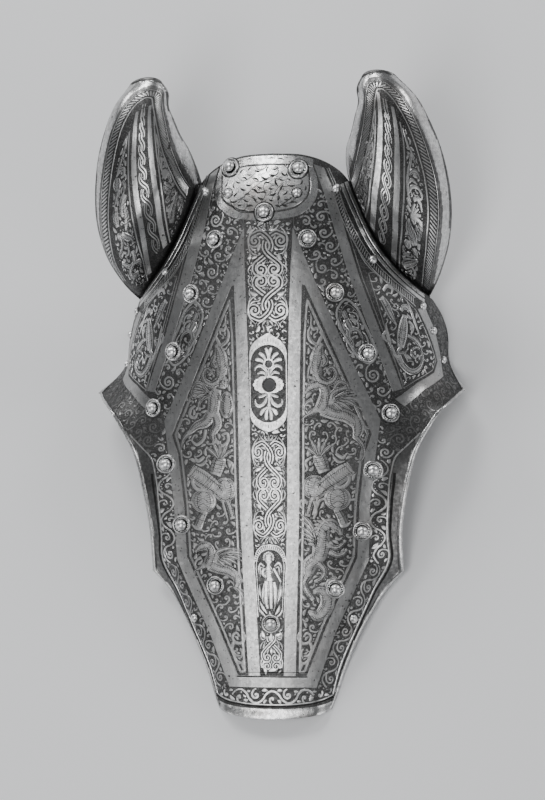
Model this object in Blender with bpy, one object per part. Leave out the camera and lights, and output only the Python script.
"""Half shaffron: the steel head armour of a horse, with two ear guards.

One steel plate covers the face from the poll to above the nostrils.  It arches
over each eye, where its edge is turned outwards into a flange.  Two leaf-shaped
half tubes guard the ears: a flange at the root of each lies under the plate and
is riveted to it.  Rivets on rosette washers once held a padded lining.

Every shape is worked out in the face frame, in millimetres: +X to the wearer's
left hand side as it is looked at, +Y up the face to the poll, +Z out of the
forehead, with the origin on the crest between the eyes.  A point of the plate is
named by two lengths: `across`, measured over the skin from the crest line, and
`along`, measured up the face.  The face frame is then tipped so that the armour
lies on the rear edges of its temples and nose, as it does when it is put down.
"""
import math

import bmesh
import bpy
import numpy as np
from mathutils import Vector

MM = 0.001

# Driving dimensions, in millimetres and degrees.
PLATE_THICK = 1.8
EAR_THICK = 1.3
RIM_SWELL = 1.1
FIT_GAP = 0.3
EAR_GAP = 1.0
EAR_FLANGE = (20.0, 5.0)
EAR_FLANGE_TAPER = (0.5, 0.8)
EAR_REACH = 5.0
EAR_LEAN = {"left": 4.0, "right": 0.0}
EAR_PIVOT = (86.0, 118.0)
REST_PITCH = 13.7
REST_HEIGHT = 80.0

LINING_HEAD = (4.4, 3.6)
SMALL_HEAD = (3.4, 2.7)
SHANK_RADIUS = 1.5
PEEN = (2.8, 0.9)
PEEN_GAP = 0.8
DOME_ANGLES = (0.75, 0.0)
ROSETTE_RADIUS = 7.8
ROSETTE_HEIGHT = 1.3
ROSETTE_HOLE = 1.9
ROSETTE_SLOPE = 2.0
DRILL_REACH = 8.0

# Steels: colour and roughness.
SHEET_STEEL = ((0.36, 0.36, 0.36), 0.42)
ROSETTE_STEEL = ((0.42, 0.42, 0.42), 0.35)
LINING_RIVET_STEEL = ((0.62, 0.62, 0.62), 0.25)
SMALL_RIVET_STEEL = ((0.55, 0.55, 0.55), 0.28)

CHARGE_HOLE = (0.7, 8.0, 4.6)
PIN_HOLE = (0.5, 24.5, 2.3)

# Cross-sections of the plate.  Each half is an arc of length `shoulder` from the
# crest, which ends at the slope `front`, then an arc of length `bend` down to the
# slope `side`, then a straight flank.
SECTIONS = np.array([
    # along, crest, shoulder, front, bend, side
    (200, -30, 34, 22, 56, 62),
    (170, -15, 40, 22, 64, 66),
    (130, -4, 54, 24, 76, 72),
    (85, 0, 72, 25, 84, 78),
    (40, 0, 86, 24, 80, 80),
    (0, 0, 92, 21, 56, 78),
    (-50, 0, 88, 17, 26, 68),
    (-100, -1, 78, 14, 18, 62),
    (-140, -2, 69, 13, 16, 58),
    (-185, -4, 52, 11, 15, 56),
    (-222, -6, 38, 11, 14, 54),
    (-258, -8, 30, 11, 12, 50),
], float)[::-1]

# The cut edge of one half of the plate, from the ear opening round to the nose.
EDGE = {
    # across, along
    "ear": [(65, 171), (74, 152), (90, 122), (108, 102), (132, 86), (158, 76)],
    "temple": [(158, 76), (175, 63), (182, 50), (181, 38), (179.5, 28), (179, 18), (176, 3)],
    "eye": [(176, 3), (158, -5), (140, -14), (126, -27), (116, -42), (109, -62),
            (104, -87), (103, -112), (105, -128), (108, -141)],
    "nose": [(108, -141), (96, -160), (76, -189), (61, -222), (55, -238), (49, -250)],
}
POLL_RISE = [(0, 22.5), (0.43, 20.5), (0.65, 16), (0.8, 11), (0.91, 6), (1, 0)]
NOSE_DROP = 7.0
NOSE_SPREAD = 2.5
NOSE_FADE = 1.5

# How far the turned edge over the eye stands out from the skin.
FLANGE_WIDTH = 32.0
FLANGE = np.array([
    # along, outward, forward
    (3, 20, 31),
    (-5, 17, 29),
    (-14, 13, 24),
    (-27, 11, 15),
    (-45, 9, 8),
    (-80, 9, 4),
    (-141, 9, 3),
], float)[::-1]

# Half tubes of the ear guards: the two long edges and the ridge between them.
EAR_SECTIONS = np.array([
    # part, inner x, y, z, ridge x, y, z, outer x, y, z
    (0.0, 58, 178, -34, 86, 118, -20, 120, 79, -68),
    (0.2, 61, 192, -24, 93, 140, -2, 134, 103, -48),
    (0.4, 67, 206, -16, 99, 168, 6, 142, 140, -32),
    (0.6, 71, 219, -12, 101, 198, 8, 139, 178, -24),
    (0.8, 74, 232, -9, 100, 226, 8, 127, 214, -16),
    (0.9, 73, 241, -8, 97, 242, 3, 117, 232, -13),
    (1.0, 78, 250, -6, 89, 254, -3, 101, 249, -8),
], float)
EAR_BLEND = 0.3

# Rivets that held the lining, each on a rosette: one row for each pair.
LINING_PAIRS = [
    # name, left across, left along, right across, right along
    ("poll", 35.0, 183.0, 22.0, 180.0),
    ("brow", 45.0, 124.5, 31.5, 123.5),
    ("forehead", 66.0, 81.5, 53.5, 80.5),
    ("temple", 82.0, 35.5, 79.0, 32.5),
    ("eye", 100.0, -9.5, 97.0, -15.0),
    ("cheek", 86.0, -54.5, 82.0, -60.0),
    ("face", 73.0, -103.0, 73.0, -108.0),
    ("muzzle", 45.0, -151.0, 51.5, -153.5),
]
LINING_CENTRES = [
    # name, across, along
    ("crown", -3.5, 145.0),
    ("nose", 0.0, -181.0),
]
SMALL_PAIRS = [
    # name, left across, left along, right across, right along
    ("poll", 35.0, 161.5, 22.0, 160.5),
    ("muzzle", 65.0, -177.5, 66.0, -177.5),
    ("temple_upper", 144.0, 70.0, 136.0, 70.5),
    ("temple_middle", 155.0, 51.0, 147.0, 50.5),
    ("temple_lower", 163.0, 27.0, 163.0, 27.0),
]
EAR_PAIRS = [
    # name, left across, left along, right across, right along
    ("ear_upper", 58.5, 164.0, 54.5, 164.0),
    ("ear_lower", 97.5, 101.0, 86.0, 107.0),
]

# Mesh resolution.
PLATE_ROWS = {"ear": 8, "temple": 8, "eye": 12, "nose": 8}
PLATE_HALF_COLUMNS = 12
EAR_COLUMNS = 14
EAR_PARTS = (0.05, 0.12, 0.2, 0.3, 0.42, 0.54, 0.66, 0.77, 0.87, 0.95, 1.0)
RIVET_SIDES = 10
ROSETTE_SIDES = 12
EYE_EDGE_POINTS = 100
NORMAL_SPAN = 1.5
CLEARANCE_POINTS = 24
SHARP_ANGLE = 40.0


def smooth_curve(x, knots, values):
    """A smooth curve through a table: cubic pieces that share their slopes."""
    x = np.clip(x, knots[0], knots[-1])
    i = np.clip(np.searchsorted(knots, x) - 1, 0, len(knots) - 2)
    step = np.diff(knots)
    rise = np.diff(values) / step
    slope = np.empty(len(knots))
    slope[0] = rise[0]
    slope[-1] = rise[-1]
    slope[1:-1] = (rise[:-1] * step[1:] + rise[1:] * step[:-1]) / (step[1:] + step[:-1])
    t = (x - knots[i]) / step[i]
    from_knots = (2 * t**3 - 3 * t**2 + 1) * values[i] + (3 * t**2 - 2 * t**3) * values[i + 1]
    from_slopes = (t**3 - 2 * t**2 + t) * slope[i] + (t**3 - t**2) * slope[i + 1]
    return from_knots + from_slopes * step[i]


def edge_points(name, count):
    """Evenly spaced points, as (across, along), on one named stretch of the edge."""
    points = np.array(EDGE[name], float)
    run = np.concatenate([[0], np.cumsum(np.hypot(*np.diff(points, axis=0).T))])
    at = np.linspace(0, run[-1], count)
    return np.column_stack([smooth_curve(at, run, points[:, k]) for k in (0, 1)])


EYE_EDGE = edge_points("eye", EYE_EDGE_POINTS)


def skin(across, along):
    """The plate's outer skin: face-frame points for arrays of across and along."""
    across, along = np.broadcast_arrays(np.asarray(across, float), np.asarray(along, float))
    reach = np.abs(across)
    knots = SECTIONS[:, 0]
    crest, shoulder, front, bend, side = (
        smooth_curve(along, knots, SECTIONS[:, k]) for k in range(1, 6))
    front = np.radians(front)
    side = np.radians(side)
    crown_radius = shoulder / front
    bend_radius = bend / (side - front)
    crown = np.minimum(reach, shoulder) / crown_radius
    turned = front + np.clip(reach - shoulder, 0, bend) / bend_radius
    flank = np.maximum(reach - shoulder - bend, 0)
    x = crown_radius * np.sin(crown)
    x += bend_radius * (np.sin(turned) - np.sin(front)) + flank * np.cos(side)
    z = crest - crown_radius * (1 - np.cos(crown))
    z -= bend_radius * (np.cos(front) - np.cos(turned)) + flank * np.sin(side)
    gap = np.hypot(reach[..., None] - EYE_EDGE[:, 0], along[..., None] - EYE_EDGE[:, 1])
    near = np.clip(1 - gap.min(-1) / FLANGE_WIDTH, 0, 1) ** 2
    station = EYE_EDGE[gap.argmin(-1), 1]
    x += near * smooth_curve(station, FLANGE[:, 0], FLANGE[:, 1])
    z += near * smooth_curve(station, FLANGE[:, 0], FLANGE[:, 2])
    return np.stack([np.where(across < 0, -x, x), along, z], -1)


def skin_normal(across, along, span=NORMAL_SPAN):
    """Unit normals of the skin, pointing out of the face."""
    over = skin(across + span, along) - skin(across - span, along)
    up = skin(across, along + span) - skin(across, along - span)
    normal = np.cross(over, up)
    return normal / np.linalg.norm(normal, axis=-1, keepdims=True)


def plate_rows():
    """Rows of the plate's grid, from the poll to the nose, as (across, along) arrays."""
    ends = [edge_points(name, count + 1)[:-1] for name, count in PLATE_ROWS.items()]
    ends = np.vstack(ends + [[EDGE["nose"][-1]]])
    part = np.linspace(-1, 1, 2 * PLATE_HALF_COLUMNS + 1)
    profile = np.array(POLL_RISE, float)
    rise = smooth_curve(np.abs(part), profile[:, 0], profile[:, 1])
    drop = NOSE_DROP * (1 - np.abs(part) ** NOSE_SPREAD)
    rows = []
    for row, (reach, along) in enumerate(ends):
        near_poll = max(0.0, 1 - row / PLATE_ROWS["ear"])
        near_nose = max(0.0, 1 - (len(ends) - 1 - row) / PLATE_ROWS["nose"])
        rows.append((reach * part, along + rise * near_poll - drop * near_nose**NOSE_FADE))
    return rows


def grid_normals(points):
    """Unit normals of a grid of points, whose rows and columns follow the surface."""
    normal = np.cross(np.gradient(points, axis=1), -np.gradient(points, axis=0))
    return normal / np.linalg.norm(normal, axis=-1, keepdims=True)


def sheet_mesh(name, outer, inner):
    """A closed sheet between two grids of the same size."""
    rows, columns = outer.shape[:2]
    count = rows * columns
    index = np.arange(count).reshape(rows, columns)
    faces = []
    for r in range(rows - 1):
        for c in range(columns - 1):
            a, b, d, e = index[r, c], index[r, c + 1], index[r + 1, c + 1], index[r + 1, c]
            faces.append((a, e, d, b))
            faces.append((a + count, b + count, d + count, e + count))
    border = np.concatenate([index[0, :-1], index[:-1, -1], index[-1, :0:-1], index[:0:-1, 0]])
    for here, there in zip(border, np.roll(border, -1)):
        faces.append((here, there, there + count, here + count))
    points = np.concatenate([outer.reshape(-1, 3), inner.reshape(-1, 3)]) * MM
    mesh = bpy.data.meshes.new(name)
    mesh.from_pydata(points.tolist(), [], [tuple(int(i) for i in face) for face in faces])
    outward(mesh)
    return mesh


def outward(mesh):
    """Turn every face of a closed mesh outwards and shade its round parts smooth."""
    work = bmesh.new()
    work.from_mesh(mesh)
    bmesh.ops.recalc_face_normals(work, faces=work.faces)
    work.to_mesh(mesh)
    work.free()
    mesh.shade_smooth()
    mesh.set_sharp_from_angle(angle=math.radians(SHARP_ANGLE))


def turned_mesh(name, profile, sides):
    """A solid of revolution about Z.  A profile that starts on the axis ends on it too."""
    work = bmesh.new()
    rings = []
    for radius, height in profile:
        if radius == 0:
            rings.append([work.verts.new((0, 0, height * MM))] * sides)
            continue
        turn = [2 * math.pi * k / sides for k in range(sides)]
        rings.append([work.verts.new((radius * math.cos(a) * MM, radius * math.sin(a) * MM, height * MM))
                      for a in turn])
    closed = profile[0][0] > 0
    pairs = list(zip(rings, rings[1:] + rings[:1])) if closed else list(zip(rings, rings[1:]))
    for low, high in pairs:
        for k in range(sides):
            after = (k + 1) % sides
            corners = [low[k], low[after], high[after], high[k]]
            work.faces.new(list(dict.fromkeys(corners)))
    mesh = bpy.data.meshes.new(name)
    work.to_mesh(mesh)
    work.free()
    outward(mesh)
    return mesh


def steel(name, finish):
    """A Principled steel of one colour and roughness."""
    colour, roughness = finish
    material = bpy.data.materials.new(name)
    material.use_nodes = True
    shader = material.node_tree.nodes["Principled BSDF"]
    shader.inputs["Base Color"].default_value = (*colour, 1)
    shader.inputs["Metallic"].default_value = 1.0
    shader.inputs["Roughness"].default_value = roughness
    return material


def add_object(name, mesh, parent, finish=SHEET_STEEL):
    """A named object in the face frame, with a steel of its own."""
    piece = bpy.data.objects.new(name, mesh)
    bpy.context.collection.objects.link(piece)
    piece.parent = parent
    if not mesh.materials:
        mesh.materials.append(None)
    piece.material_slots[0].link = "OBJECT"
    piece.material_slots[0].material = steel(name + "_steel", finish)
    return piece


def place_on_skin(piece, across, along, lift=0.0):
    """Stand an object on the plate's skin, its Z axis along the normal."""
    normal = skin_normal(across, along)
    piece.location = Vector((skin(across, along) + normal * lift) * MM)
    piece.rotation_mode = "QUATERNION"
    piece.rotation_quaternion = Vector(normal).to_track_quat("Z", "Y")


def cutter(name, mesh, parent=None):
    """A hidden object that only cuts others."""
    tool = bpy.data.objects.new(name, mesh)
    bpy.context.collection.objects.link(tool)
    tool.parent = parent
    tool.hide_render = True
    tool.display_type = "WIRE"
    return tool


def cut(piece, tool):
    """Take a cutter away from a piece."""
    boolean = piece.modifiers.new("cut_" + tool.name, "BOOLEAN")
    boolean.operation = "DIFFERENCE"
    boolean.solver = "EXACT"
    boolean.object = tool


def drill(piece, places, frame):
    """Drill a round hole along the skin's normal at each (across, along, radius)."""
    for number, (across, along, radius) in enumerate(places):
        work = bmesh.new()
        bmesh.ops.create_cone(work, cap_ends=True, segments=RIVET_SIDES, radius1=radius * MM,
                              radius2=radius * MM, depth=2 * DRILL_REACH * MM)
        mesh = bpy.data.meshes.new("drill")
        work.to_mesh(mesh)
        work.free()
        tool = cutter(f"drill_{piece.name}_{number}", mesh, frame)
        place_on_skin(tool, across, along)
        cut(piece, tool)


def build_plate(frame, rest_cutter, holes):
    """The main plate, with its rivet holes, its two open holes and its flat rest edges."""
    outer = np.array([skin(across, along) for across, along in plate_rows()])
    normal = grid_normals(outer)
    swell = np.zeros(outer.shape[:2])
    turned_from = PLATE_ROWS["ear"] + PLATE_ROWS["temple"]
    swell[turned_from:, [0, -1]] = RIM_SWELL
    swell[-1, :] = RIM_SWELL
    raised = outer + normal * swell[..., None]
    inner = outer - normal * (PLATE_THICK + swell)[..., None]
    mesh = sheet_mesh("shaffron_plate", raised, inner)
    plate = add_object("shaffron_plate", mesh, frame)
    drill(plate, holes + [CHARGE_HOLE, PIN_HOLE], frame)
    cut(plate, rest_cutter)
    return plate


def ear_root_rows():
    """Rows of an ear guard that lie under the plate: its riveted flange."""
    depth = PLATE_THICK + EAR_GAP + EAR_THICK / 2
    edge = edge_points("ear", EAR_COLUMNS + 1)
    tangent = np.gradient(edge, axis=0)
    tangent /= np.linalg.norm(tangent, axis=1, keepdims=True)
    inward = np.column_stack([tangent[:, 1], -tangent[:, 0]])
    along_edge = np.linspace(0, 1, EAR_COLUMNS + 1)[:, None]
    inset = np.interp(along_edge, EAR_FLANGE_TAPER, EAR_FLANGE)
    rows = []
    for step in (inset, inset / 2, -EAR_REACH):
        across, along = (edge + inward * step).T
        rows.append(skin(across, along) - skin_normal(across, along) * depth)
    return rows


def ear_tube_row(part, lean):
    """One row of the half tube, an arc from its inner edge over the ridge to the outer."""
    turn = np.linspace(0, math.pi, EAR_COLUMNS + 1)[:, None]
    knots = EAR_SECTIONS[:, 0]
    table = [smooth_curve(np.array(part), knots, EAR_SECTIONS[:, k]) for k in range(1, 10)]
    inner, ridge, outer = np.array(table).reshape(3, 3)
    middle = (inner + outer) / 2
    row = middle - np.cos(turn) * (outer - inner) / 2 + np.sin(turn) * (ridge - middle)
    angle = -math.radians(lean)
    pivot = np.array(EAR_PIVOT)
    away = row[:, :2] - pivot
    row[:, 0] = pivot[0] + away[:, 0] * math.cos(angle) - away[:, 1] * math.sin(angle)
    row[:, 1] = pivot[1] + away[:, 0] * math.sin(angle) + away[:, 1] * math.cos(angle)
    return row


def build_ear_guard(side, frame, holes):
    """One ear guard: a leaf-shaped half tube with a flange riveted under the plate."""
    sign = -1 if side == "left" else 1
    root = ear_root_rows()
    rows = list(root)
    for part in EAR_PARTS:
        ease = min(1.0, part / EAR_BLEND)
        weight = ease * ease * (3 - 2 * ease)
        rows.append(root[-1] * (1 - weight) + ear_tube_row(part, EAR_LEAN[side]) * weight)
    middle = np.array(rows)[::-1]
    normal = grid_normals(middle)
    half = np.full(middle.shape[:2], EAR_THICK / 2)
    half[0, :] += RIM_SWELL
    half[:-3, [0, -1]] += RIM_SWELL
    outer = middle + normal * half[..., None]
    inner = middle - normal * half[..., None]
    mirror = np.array([sign, 1, 1])
    mesh = sheet_mesh(f"ear_guard_{side}", outer * mirror, inner * mirror)
    guard = add_object(f"ear_guard_{side}", mesh, frame)
    drill(guard, holes, frame)
    return guard


def rivet_profile(head, seat, hold):
    """Domed head above `seat`, shank, and a peened end below `hold`."""
    radius, height = head
    peen_radius, peen_height = PEEN
    dome = [(radius * math.cos(a), seat + height * math.sin(a)) for a in DOME_ANGLES]
    return ([(0, seat + height)] + dome + [(SHANK_RADIUS, seat), (SHANK_RADIUS, -hold),
            (peen_radius, -hold), (0, -hold - peen_height)])


def clearance_over_skin(across, along, radius):
    """How far the skin rises above its own tangent plane within a radius."""
    centre = skin(across, along)
    normal = skin_normal(across, along)
    turn = np.linspace(0, 2 * math.pi, CLEARANCE_POINTS, endpoint=False)
    ring = np.concatenate([skin(across + r * np.cos(turn), along + r * np.sin(turn))
                           for r in (radius, radius / 2)])
    return max(0.0, float(((ring - centre) @ normal).max()))


def add_lining_rivet(name, across, along, frame):
    """A rosette washer on the skin and the domed rivet through it."""
    lift = FIT_GAP + clearance_over_skin(across, along, ROSETTE_RADIUS)
    profile = [(ROSETTE_HOLE, 0), (ROSETTE_RADIUS, 0), (ROSETTE_RADIUS - ROSETTE_SLOPE, ROSETTE_HEIGHT),
               (ROSETTE_HOLE, ROSETTE_HEIGHT)]
    rosette = turned_mesh("rosette", profile, ROSETTE_SIDES)
    washer = add_object(f"rosette_{name}", rosette, frame, ROSETTE_STEEL)
    place_on_skin(washer, across, along, lift)
    seat = lift + ROSETTE_HEIGHT + FIT_GAP
    mesh = turned_mesh("rivet", rivet_profile(LINING_HEAD, seat, PLATE_THICK + PEEN_GAP), RIVET_SIDES)
    rivet = add_object(f"lining_rivet_{name}", mesh, frame, LINING_RIVET_STEEL)
    place_on_skin(rivet, across, along)


def add_small_rivet(name, across, along, frame, grip):
    """A small domed rivet, straight on the skin."""
    seat = FIT_GAP + clearance_over_skin(across, along, SMALL_HEAD[0] + 1)
    mesh = turned_mesh("small_rivet", rivet_profile(SMALL_HEAD, seat, grip + PEEN_GAP), RIVET_SIDES)
    rivet = add_object(f"small_rivet_{name}", mesh, frame, SMALL_RIVET_STEEL)
    place_on_skin(rivet, across, along)


def both_sides(pairs):
    """Rows of (name with side, across, along): the left side has negative across."""
    places = []
    for name, left_across, left_along, right_across, right_along in pairs:
        places.append((f"{name}_left", -left_across, left_along))
        places.append((f"{name}_right", right_across, right_along))
    return places


def stand_on_surface(frame):
    """Tip the face frame to its rest pose and centre the armour over the origin."""
    frame.rotation_euler = (math.radians(REST_PITCH), 0, 0)
    frame.location = (0, 0, REST_HEIGHT * MM)
    bpy.context.view_layer.update()
    corners = []
    for piece in frame.children:
        if piece.type == "MESH" and not piece.hide_render:
            corners += [piece.matrix_world @ vertex.co for vertex in piece.data.vertices]
    for axis in (0, 1):
        spread = [corner[axis] for corner in corners]
        frame.location[axis] = -(min(spread) + max(spread)) / 2


def build():
    """Clear the scene and build every piece in its rest pose."""
    for old in list(bpy.data.objects):
        bpy.data.objects.remove(old, do_unlink=True)
    frame = bpy.data.objects.new("face_frame", None)
    bpy.context.collection.objects.link(frame)
    work = bmesh.new()
    bmesh.ops.create_cube(work, size=1.0)
    bmesh.ops.translate(work, verts=work.verts, vec=(0, 0, -0.5))
    block = bpy.data.meshes.new("rest_block")
    work.to_mesh(block)
    work.free()
    rest_cutter = cutter("rest_block", block)

    lining = both_sides(LINING_PAIRS) + LINING_CENTRES
    small = both_sides(SMALL_PAIRS)
    ears = both_sides(EAR_PAIRS)
    hole = SHANK_RADIUS + FIT_GAP
    holes = [(across, along, hole) for _, across, along in lining + small + ears]
    build_plate(frame, rest_cutter, holes)
    for side in ("left", "right"):
        own = [(across, along, hole) for name, across, along in ears if name.endswith(side)]
        build_ear_guard(side, frame, own)
    for name, across, along in lining:
        add_lining_rivet(name, across, along, frame)
    for name, across, along in small:
        add_small_rivet(name, across, along, frame, PLATE_THICK)
    for name, across, along in ears:
        add_small_rivet(name, across, along, frame, PLATE_THICK + EAR_GAP + EAR_THICK)
    stand_on_surface(frame)


build()
